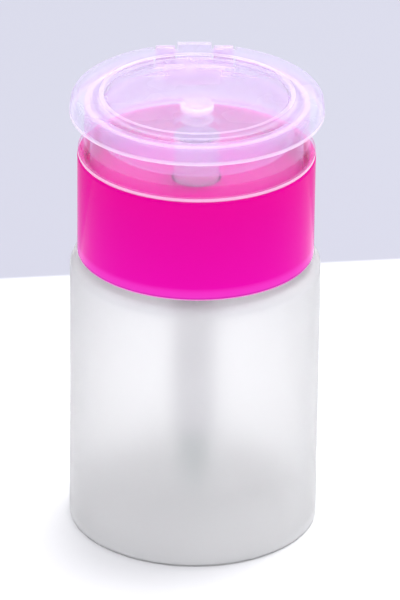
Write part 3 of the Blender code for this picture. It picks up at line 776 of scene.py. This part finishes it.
def combine(piece, tool, operation):
    """Applies one Boolean and deletes the tool."""
    boolean = piece.modifiers.new("shape", "BOOLEAN")
    boolean.operation = operation
    boolean.solver = "EXACT"
    boolean.object = tool
    evaluated = piece.evaluated_get(bpy.context.evaluated_depsgraph_get())
    mesh = bpy.data.meshes.new_from_object(evaluated)
    piece.modifiers.clear()
    piece.data = mesh
    bpy.data.objects.remove(tool, do_unlink=True)


def arc(centre_y, centre_z, radius, start, end, count):
    turns = [start + (end - start) * step / count for step in range(count + 1)]
    return [(centre_y + radius * cos(turn), centre_z + radius * sin(turn)) for turn in turns]


# %% [markdown]
# ## The guard ring
#
# The ring stands on the collar and keeps the dish from being pressed by accident. Its foot flares out to
# the collar's width, its plug goes inside the collar's rim, and at the back it carries a block with two
# lugs for the lid. The flare is a quarter of an ellipse, drawn point by point from its formula.

# %% Sizes of the ring and the hinge
guard_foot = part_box("guard_ring")[0].z
guard_bottom = collar_high.z + 0.0002
guard_top = 0.0821
guard_radius = 0.0200
guard_bore = 0.0190
flange_radius = collar_radius - 0.0001
flange_top = guard_bottom + 0.0007
flare_height = 0.0019
plug_radius = collar_inner - 0.00025
snap_middle = guard_bottom - 0.0028
snap_half = 0.0003
snap_radius = plug_radius + 0.0004

hinge = next(joint for joint in frame["joints"] if joint["name"] == "lid_flip")
hinge_y, hinge_z = hinge["pos_m"][1:]
knuckle_radius = 0.0015
knuckle_half = 0.0031
lug_radius = 0.00115
lug_inner = 0.0035
lug_outer = 0.0070
notch_half = 0.0074
block_top = hinge_z - 0.0018
block_front = 0.0182
block_height = 0.0034
block_heel = 0.0012
pin_radius = 0.00055
pin_hole = 0.0007
pin_end = 0.0047
hole_end = 0.0050
lid_radius = 0.0227
mould_round = 0.00015
cut_extra = 0.001

# %% Guard ring
FLARE_STEPS = 12
LUG_STEPS = 24
# The flange's edge and the rims get painted highlights.
GUARD_RIM_PAINTED_HIGHLIGHT = 0.6
GUARD_EDGE_PAINTED_HIGHLIGHT = 0.9
FLARE_MILK = -0.2
PLUG_MILK = -1.0
FLARE_FOOT_SHARE = 0.6


def flare():
    width = flange_radius - guard_radius
    turns = [pi / 2 * step / FLARE_STEPS for step in range(FLARE_STEPS + 1)]
    return [(flange_radius - width * cos(t), flange_top + flare_height * (1 - sin(t)), 0) for t in turns]


def guard_milk_and_painted_highlights(radius, height, rim):
    """The flange's edge and the rims get a painted highlight, the flare's hollow is clearer, and the plug
    can't be seen in the collar.
    """
    if radius > flange_radius - ON_AXIS:
        return GUARD_EDGE_PAINTED_HIGHLIGHT
    if radius > guard_bore + ON_AXIS and height < guard_bottom + ON_AXIS:
        return PLUG_MILK
    if radius > guard_radius + ON_AXIS and height < flange_top + flare_height:
        foot = radius > guard_radius + FLARE_FOOT_SHARE * (flange_radius - guard_radius)
        return 0.0 if foot else FLARE_MILK
    return GUARD_RIM_PAINTED_HIGHLIGHT if rim else 0.0


guard = turned("guard_ring_shell", [
    (guard_radius, guard_top, 0.0003),
    *flare(),
    (flange_radius, guard_bottom, 0.00015),
    (plug_radius, guard_bottom, 0),
    (plug_radius, snap_middle + snap_half, 0),
    (snap_radius, snap_middle, 0.0001),
    (plug_radius, snap_middle - snap_half, 0),
    (plug_radius, guard_foot, 0.0001),
    (guard_bore, guard_foot, 0.0002),
    (guard_bore, guard_top, 0.0003),
], milky=guard_milk_and_painted_highlights)
combine(guard, block_from_outline("hinge_block", [
    (block_front, block_top + cut_extra),
    (block_front, block_top - block_height),
    (hinge_y + lug_radius, block_top - block_heel),
    (hinge_y + lug_radius, block_top + cut_extra),
], -lug_outer, lug_outer, mould_round), "UNION")
combine(guard, box_from_corners(
    "guard_notch",
    (-notch_half, guard_bore / 2, block_top),
    (notch_half, lid_radius + cut_extra, guard_top + cut_extra),
), "DIFFERENCE")
lug = arc(hinge_y, hinge_z, lug_radius, 0, pi, LUG_STEPS)
lug += [(hinge_y - lug_radius, block_top - cut_extra), (hinge_y + lug_radius, block_top - cut_extra)]
for left, right in ((-lug_outer, -lug_inner), (lug_inner, lug_outer)):
    combine(guard, block_from_outline("lug", lug, left, right, mould_round), "UNION")
combine(guard, rod(
    "pin_hole", pin_hole, (-hole_end, hinge_y, hinge_z), (hole_end, hinge_y, hinge_z)
), "DIFFERENCE")
combine(guard, rod(
    "hinge_trim", lid_radius,
    (0, 0, guard_foot - cut_extra), (0, 0, guard_top + 2 * cut_extra), 2 * LARGE_STEPS
), "INTERSECT")
dress(guard, natural_ring, "collar", "natural", "guard_ring")
report(guard)

# %% [markdown]
# ## The lid
#
# The lid is a thin plate with a round recess, a brim that reaches down past the ring and a plug ring that
# snaps inside it. At the back the plate ends in a knuckle between the lugs, with a pin moulded on each side.
# The knuckle has a heel that meets the block when the lid is fully open, which is what stops it.

# %% Lid
plate_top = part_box("lid")[1].z
plate_bottom = 0.0824
plug_foot = plate_bottom - 0.0015
brim_foot = plate_bottom - 0.0027
brim_wall = 0.0010
brim_draft = 0.00035
lid_plug_radius = 0.0187
lid_plug_bore = 0.0178
recess_radius = 0.01665
recess_depth = 0.0005
recess_slope = 0.0004
notch_front = hinge_y - lug_radius - 0.00115
brim_cut = hinge_y - 0.0003
heel_reach = 0.00185
heel_drop = 0.0018
stop_angle = radians(127)
recess_ring = 0.0008
brim_band = 0.0008
band_share = brim_band / (plate_top - brim_foot)

KNUCKLE_STEPS = 36
# The recess ring, the brim's foot band and the rims get painted highlights; the step is cleared.
RECESS_RING_PAINTED_HIGHLIGHT = 0.34
STEP_MILK = -0.3
BRIM_BAND_PAINTED_HIGHLIGHT = 0.6


def lid_milk_and_painted_highlights(radius, height, rim):
    """The ring round the recess, the foot of the brim and the rims get a painted highlight, and the recess's
    step is clear.
    """
    if recess_radius < radius < recess_radius + recess_ring and height > plate_bottom:
        return RECESS_RING_PAINTED_HIGHLIGHT
    if recess_radius - 2 * recess_slope < radius < recess_radius + ON_AXIS:
        return STEP_MILK
    if radius < lid_plug_radius + ON_AXIS:
        return 0.0
    if height < brim_foot + brim_band:
        return BRIM_BAND_PAINTED_HIGHLIGHT
    return float(rim)


lid = turned("lid_shell", [
    (0, plate_top - recess_depth, 0),
    (recess_radius - recess_slope, plate_top - recess_depth, 0.0003),
    (recess_radius, plate_top, 0.0001),
    (recess_radius + recess_ring, plate_top, 0),
    (lid_radius - brim_draft, plate_top, 0.0016),
    (lid_radius - brim_draft * band_share, brim_foot + brim_band, 0),
    (lid_radius, brim_foot, 0.0003),
    (lid_radius - brim_wall, brim_foot, 0.0002),
    (lid_radius - brim_draft - brim_wall, plate_bottom, 0.0006),
    (lid_plug_radius, plate_bottom, 0.0001),
    (lid_plug_radius, plug_foot, 0.0002),
    (lid_plug_bore, plug_foot, 0.0002),
    (lid_plug_bore, plate_bottom, 0.0001),
    (recess_radius, plate_bottom, 0.0002),
    (recess_radius - recess_slope, plate_bottom - recess_depth, 0.0003),
    (0, plate_bottom - recess_depth, 0),
], closed=False, milky=lid_milk_and_painted_highlights)
below = brim_foot - cut_extra
above = plate_top + cut_extra
beyond = lid_radius + cut_extra
combine(lid, box_from_corners(
    "brim_cut", (-notch_half, brim_cut, below), (notch_half, beyond, above)
), "DIFFERENCE")
for left, right in ((-notch_half, -knuckle_half), (knuckle_half, notch_half)):
    combine(lid, box_from_corners("notch", (left, notch_front, below), (right, beyond, above)), "DIFFERENCE")
heel = stop_angle - asin(heel_drop / heel_reach)
spread = acos(knuckle_radius / heel_reach)
knuckle = arc(hinge_y, hinge_z, knuckle_radius, heel + spread, heel - spread + 2 * pi, KNUCKLE_STEPS)
knuckle.append((hinge_y + heel_reach * cos(heel), hinge_z + heel_reach * sin(heel)))
combine(lid, block_from_outline("knuckle", knuckle, -knuckle_half, knuckle_half, 0), "UNION")
combine(lid, rod("pins", pin_radius, (-pin_end, hinge_y, hinge_z), (pin_end, hinge_y, hinge_z)), "UNION")
dress(lid, natural_lid, "lid", "natural", "lid")
report(lid)

# %% [markdown]
# ## The dish and its boss
#
# The dish is what the cotton pad presses. Its boss carries the nozzle above and the piston's stem below,
# and between them a small chamber with the outlet ball. All of that is one turned profile. The boss is
# milkier than the dish, and its near-white colour holds painted glow too, so it shows as a pale column in
# the middle.

# %% Press dish
dish_low, dish_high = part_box("press_dish")
dish_radius = 0.0173
dish_wall = 0.0010
dish_inner = dish_radius - dish_wall
dish_floor_top = 0.0766
dish_floor_bottom = 0.0756
dish_skirt_foot = 0.0752
lip_radius = dish_radius + 0.0003
lip_foot = dish_high.z - 0.0006
lip_taper = 0.0003
boss_radius = 0.00407
boss_top = dish_floor_top + 0.0013
socket_radius = 0.0021
socket_top = dish_low.z + 0.0062
valve_seat = 0.0007
valve_seat_top = socket_top + 0.0008
cage_radius = 0.0015
nozzle_low, nozzle_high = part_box("nozzle_cap")
cage_top = nozzle_low.z - 0.0002
nozzle_socket = 0.00225

# The boss's milk carries painted glow, and the dish's rims a faint painted highlight.
BOSS_MILK = 0.9
DISH_RIM_PAINTED_HIGHLIGHT = 0.12


def dish_milk_and_painted_light(radius, height, rim):
    """The wall of the boss is milky below the dish, with painted glow in its white, and the dish's own rims
    get a faint painted highlight.
    """
    if abs(radius - boss_radius) < ON_AXIS and height < dish_floor_bottom:
        return BOSS_MILK
    return DISH_RIM_PAINTED_HIGHLIGHT if rim and radius > boss_radius else 0.0


dish = turned("press_dish_shell", [
    (lip_radius, dish_high.z, 0.0002),
    (lip_radius, lip_foot, 0.0001),
    (dish_radius, lip_foot - lip_taper, 0),
    (dish_radius, dish_skirt_foot, 0.0002),
    (dish_inner, dish_skirt_foot, 0.0002),
    (dish_inner, dish_floor_bottom, 0.0003),
    (boss_radius, dish_floor_bottom, 0.0003),
    (boss_radius, dish_low.z, 0.0003),
    (socket_radius, dish_low.z, 0.0001),
    (socket_radius, socket_top, 0),
    (valve_seat, socket_top, 0),
    (valve_seat, valve_seat_top, 0),
    (cage_radius, valve_seat_top, 0),
    (cage_radius, cage_top, 0),
    (nozzle_socket, cage_top, 0),
    (nozzle_socket, boss_top, 0.0001),
    (boss_radius, boss_top, 0.0003),
    (boss_radius, dish_floor_top, 0.0003),
    (dish_inner, dish_floor_top, 0.0008),
    (dish_inner, dish_high.z, 0.0002),
], milky=dish_milk_and_painted_light)
dress(dish, natural_dish, "plunger", "natural", "press_dish")
report(dish)

# %% [markdown]
# ## The nozzle
#
# The little mushroom in the middle of the dish lets the remover out under its head, so that it wets the pad
# and does not squirt. Its plug is pressed into the boss. The four outlets are two rods cut across the neck.

# %% Nozzle cap
nozzle_head = nozzle_high.x
nozzle_head_height = 0.0012
nozzle_neck = 0.0017
nozzle_neck_height = 0.0016
nozzle_flange = 0.0029
nozzle_flange_height = 0.0004
nozzle_plug = 0.0020
nozzle_bore = 0.0008
outlet_radius = 0.0005
head_bottom = nozzle_high.z - nozzle_head_height
neck_bottom = head_bottom - nozzle_neck_height
outlet_z = neck_bottom + nozzle_neck_height / 2

nozzle = turned("nozzle_button", [
    (0, nozzle_high.z, 0),
    (nozzle_head, nozzle_high.z, 0.0004),
    (nozzle_head, head_bottom, 0.0001),
    (nozzle_neck, head_bottom, 0.0002),
    (nozzle_neck, neck_bottom, 0.0001),
    (nozzle_flange, neck_bottom, 0.0001),
    (nozzle_flange, neck_bottom - nozzle_flange_height, 0),
    (nozzle_plug, neck_bottom - nozzle_flange_height, 0),
    (nozzle_plug, nozzle_low.z, 0.0001),
    (nozzle_bore, nozzle_low.z, 0),
    (nozzle_bore, outlet_z, 0),
    (0, outlet_z, 0),
], closed=False, steps=SMALL_STEPS)
for across in (Vector((nozzle_neck + cut_extra, 0, 0)), Vector((0, nozzle_neck + cut_extra, 0))):
    middle = Vector((0, 0, outlet_z))
    combine(nozzle, rod("outlet", outlet_radius, middle - across, middle + across), "DIFFERENCE")
dress(nozzle, natural_nozzle, "plunger", "natural", "nozzle_cap")
report(nozzle)

# %% [markdown]
# ## The pump
#
# The housing hangs from its flange between the neck and the collar's deck. Above is the cup that the boss
# dives into, then the long cylinder for the piston, and at the foot a ball on its seat and the socket of
# the dip tube. It is turned like the rest, with fewer steps because it is thin and stands behind frost.

# %% Pump housing
housing_low, housing_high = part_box("pump_housing")
flange_r = housing_high.x
cup_bore = boss_radius + 0.0003
cup_outer = cup_bore + 0.0008
cup_floor = 0.0574
cup_bottom = cup_floor - 0.0012
cylinder_bore = 0.0031
cylinder_outer = cylinder_bore + 0.0008
flange_bottom = housing_high.z - 0.0008
seat_z = housing_low.z + 0.0035
cage_z = 0.0160
cage_taper = 0.0010
ball_cage = 0.0018
valve_bore = 0.0009
spring_hole = 0.0013
spring_seat_z = 0.0165
spigot_outer = 0.00235
tube_socket = 0.0019
tube_socket_top = housing_low.z + 0.0030

housing = turned("pump_housing_shell", [
    (flange_r, housing_high.z, 0.0002),
    (flange_r, flange_bottom, 0.0002),
    (cup_outer, flange_bottom, 0.0003),
    (cup_outer, cup_bottom, 0.0008),
    (cylinder_outer, cup_bottom, 0.0003),
    (cylinder_outer, cage_z, 0.0003),
    (spigot_outer, cage_z - cage_taper, 0.0003),
    (spigot_outer, housing_low.z, 0.0001),
    (tube_socket, housing_low.z, 0.0001),
    (tube_socket, tube_socket_top, 0),
    (valve_bore, tube_socket_top, 0),
    (valve_bore, seat_z, 0),
    (ball_cage, seat_z, 0),
    (ball_cage, cage_z, 0),
    (spring_hole, cage_z, 0),
    (spring_hole, spring_seat_z, 0),
    (cylinder_bore, spring_seat_z, 0),
    (cylinder_bore, cup_floor, 0),
    (cup_bore, cup_floor, 0),
    (cup_bore, housing_high.z, 0.0002),
], steps=SMALL_STEPS)
dress(housing, pump_white, "pump_head", "pump", "pump_housing")
report(housing)

# %% [markdown]
# ## Stem, piston, guide, gasket and dip tube
#
# These are plain sleeves, each with the one feature that makes it work: a foot for the spring on the stem,
# a lip at each end of the piston, a flange on the guide. A short function writes a plain tube's profile.

# %% Sleeves
dip_tube_bore = 0.00115
gasket_bore = 0.0139


def tube_corners(node, bore, fillet=0.0001):
    low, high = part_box(node)
    return [(high.x, high.z, fillet), (high.x, low.z, fillet), (bore, low.z, 0), (bore, high.z, 0)]


dip_tube = turned("dip_tube_shell", tube_corners("dip_tube", dip_tube_bore), steps=SMALL_STEPS)
dress(dip_tube, tube_grey, "pump_head", "pump", "dip_tube")
gasket = turned("neck_gasket_ring", tube_corners("neck_gasket", gasket_bore))
dress(gasket, seal_white, "pump_head", "seal", "neck_gasket")

stem_low, stem_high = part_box("piston_stem")
stem_bore = 0.0009
stem_radius = 0.0019
stem_tip_radius = 0.0016
stem_foot_bottom = stem_low.z + 0.0012
stem_foot_top = stem_foot_bottom + 0.0012
stem = turned("piston_stem_shell", [
    (stem_radius, stem_high.z, 0.0001),
    (stem_radius, stem_foot_top, 0.0003),
    (stem_high.x, stem_foot_top, 0.0002),
    (stem_high.x, stem_foot_bottom, 0.0001),
    (stem_tip_radius, stem_foot_bottom, 0.0001),
    (stem_tip_radius, stem_low.z, 0.0003),
    (stem_bore, stem_low.z, 0),
    (stem_bore, stem_high.z, 0),
], steps=SMALL_STEPS)
dress(stem, pump_white, "plunger", "pump", "piston_stem")

piston_low, piston_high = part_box("piston")
piston_lip = piston_high.x
piston_waist = piston_lip - 0.0004
piston_lip_height = 0.0006
piston_lip_and_taper = 0.0012
sliding_bore = stem_radius + 0.0002
piston = turned("piston_seal", [
    (piston_lip, piston_high.z, 0.0001),
    (piston_lip, piston_high.z - piston_lip_height, 0.0002),
    (piston_waist, piston_high.z - piston_lip_and_taper, 0.0004),
    (piston_waist, piston_low.z + piston_lip_and_taper, 0.0004),
    (piston_lip, piston_low.z + piston_lip_height, 0.0002),
    (piston_lip, piston_low.z, 0.0001),
    (sliding_bore, piston_low.z, 0),
    (sliding_bore, piston_high.z, 0),
], steps=SMALL_STEPS)
dress(piston, seal_white, "plunger", "seal", "piston")

guide_low, guide_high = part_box("stem_guide")
guide_flange_bottom = guide_high.z - 0.0008
guide_radius = 0.00285
guide = turned("stem_guide_sleeve", [
    (guide_high.x, guide_high.z, 0.0001),
    (guide_high.x, guide_flange_bottom, 0.0001),
    (guide_radius, guide_flange_bottom, 0),
    (guide_radius, guide_low.z, 0.0001),
    (sliding_bore, guide_low.z, 0),
    (sliding_bore, guide_high.z, 0),
], steps=SMALL_STEPS)
dress(guide, pump_white, "pump_head", "pump", "stem_guide")
for sleeve in (dip_tube, gasket, stem, piston, guide):
    report(sleeve)

# %% [markdown]
# ## Spring and balls
#
# The return spring is one wire: a curve whose points climb a helix, slowly in the end turns and evenly
# between them, with a round bevel. When the dish goes down the spring gets shorter. The balls are spheres
# on the axis, in the places of their solids.

# %% Return spring
WIRE_POINTS_PER_TURN = 24
WIRE_ROUNDNESS = 4
END_TURNS = 1.5
END_PITCH = 0.00105
MIDDLE_TURNS = 9
spring_low, spring_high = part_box("return_spring")
wire_radius = 0.00025
coil_radius = 0.00235


def wire_height(turn, length):
    middle_pitch = (length - 2 * END_TURNS * END_PITCH) / MIDDLE_TURNS
    height = END_PITCH * min(turn, END_TURNS)
    height += middle_pitch * min(max(turn - END_TURNS, 0), MIDDLE_TURNS)
    return height + END_PITCH * max(turn - END_TURNS - MIDDLE_TURNS, 0)


def make_spring():
    length = spring_high.z - spring_low.z - 2 * wire_radius
    turns = 2 * END_TURNS + MIDDLE_TURNS
    count = round(turns * WIRE_POINTS_PER_TURN)
    curve = bpy.data.curves.new("spring_wire", "CURVE")
    curve.dimensions = "3D"
    curve.bevel_depth = wire_radius
    curve.bevel_resolution = WIRE_ROUNDNESS
    curve.use_fill_caps = True
    spline = curve.splines.new("POLY")
    spline.points.add(count)
    for step, point in enumerate(spline.points):
        turn = turns * step / count
        height = spring_low.z + wire_radius + wire_height(turn, length)
        point.co = (coil_radius * cos(2 * pi * turn), coil_radius * sin(2 * pi * turn), height, 1)
    wire = bpy.data.objects.new("spring_wire", curve)
    bpy.context.scene.collection.objects.link(wire)
    mesh = bpy.data.meshes.new_from_object(wire.evaluated_get(bpy.context.evaluated_depsgraph_get()))
    bpy.data.objects.remove(wire, do_unlink=True)
    spring = bpy.data.objects.new("return_spring_coil", mesh)
    bpy.context.scene.collection.objects.link(spring)
    return spring


spring = make_spring()
dress(spring, steel, "pump_head", "steel", "return_spring")
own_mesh(spring)
report(spring)

# %% Valve balls
BALL_SUBDIVISIONS = 4


def make_ball(name, node):
    low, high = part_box(node)
    shape = bmesh.new()
    bmesh.ops.create_icosphere(shape, subdivisions=BALL_SUBDIVISIONS, radius=(high.z - low.z) / 2)
    bmesh.ops.translate(shape, verts=shape.verts, vec=(low + high) / 2)
    return new_piece(name, shape)


for name, node in (("inlet_valve_ball", "inlet_ball"), ("outlet_valve_ball", "outlet_ball")):
    ball = make_ball(name, node)
    dress(ball, steel, node, "steel", node)
    report(ball)

# %% [markdown]
# ## Table, light and background
#
# The bottle stands on a white table in front of a pale lavender wall. A real wall would stand in the way of
# a camera that walks round the bottle, so the table itself changes colour a hand's breadth behind it. The
# light is a bright even room with one large soft lamp high up, a little behind and to the right, which
# leaves a faint shadow at the front left.

# %% Table
TABLE_HALF_SIZE = 3.0
TABLE_CELLS = 8
WALL_LINE = 0.0964
WALL_TURN = radians(-6.18)
WALL_BLUR = 0.002
TABLE_WHITE = (0.93, 0.93, 0.94)
WALL_LAVENDER = (0.435, 0.439, 0.505)


def make_table():
    shape = bmesh.new()
    bmesh.ops.create_grid(
        shape, x_segments=TABLE_CELLS, y_segments=TABLE_CELLS, size=TABLE_HALF_SIZE
    )
    table = new_piece("table", shape)
    finish = new_finish("table_white", TABLE_WHITE, 0.6, Specular_IOR_Level=0.2)
    place = add_node(finish, "ShaderNodeTexCoord")
    turn = add_node(finish, "ShaderNodeMapping")
    turn.inputs["Rotation"].default_value = (0, 0, WALL_TURN)
    apart = add_node(finish, "ShaderNodeSeparateXYZ")
    edge = add_node(finish, "ShaderNodeMapRange")
    edge.inputs["From Min"].default_value = WALL_LINE
    edge.inputs["From Max"].default_value = WALL_LINE + WALL_BLUR
    ramp = add_ramp(finish, edge, "Result", (0.0, TABLE_WHITE), (1.0, WALL_LAVENDER))
    join(finish, place, "Object", turn, "Vector")
    join(finish, turn, "Vector", apart, "Vector")
    join(finish, apart, "Y", edge, "Value")
    join(finish, ramp, "Color", finish.node_tree.nodes["Principled BSDF"], "Base Color")
    table.data.materials.append(finish)


make_table()
print("table half size, m:", TABLE_HALF_SIZE, "wall line behind the axis, m:", WALL_LINE)

# %% Light


def make_lamp(name, place, aim, size, power):
    data = bpy.data.lights.new(name, "AREA")
    data.shape = "DISK"
    data.size = size
    data.energy = power
    lamp = bpy.data.objects.new(name, data)
    bpy.context.scene.collection.objects.link(lamp)
    lamp.location = place
    lamp.rotation_euler = (Vector(aim) - Vector(place)).to_track_quat("-Z", "Y").to_euler()


def make_room(colour, strength):
    world = bpy.data.worlds.new("bright_room")
    world.use_nodes = True
    light = world.node_tree.nodes["Background"]
    light.inputs["Color"].default_value = (*colour, 1)
    light.inputs["Strength"].default_value = strength
    bpy.context.scene.world = world


ROOM_COLOUR = (0.96, 0.96, 1.0)
ROOM_STRENGTH = 1.0
LAMP_PLACE = (0.12, 0.18, 0.91)
LAMP_AIM = (0, 0, 0.04)
LAMP_SIZE = 0.45
LAMP_WATTS = 6.0
MOST_FILMS_IN_A_ROW = 32

make_room(ROOM_COLOUR, ROOM_STRENGTH)
make_lamp("soft_key", LAMP_PLACE, LAMP_AIM, LAMP_SIZE, LAMP_WATTS)
bpy.context.scene.view_settings.view_transform = "Standard"
bpy.context.scene.cycles.transparent_max_bounces = MOST_FILMS_IN_A_ROW
print("lamp size, m:", LAMP_SIZE, "power, W:", LAMP_WATTS)
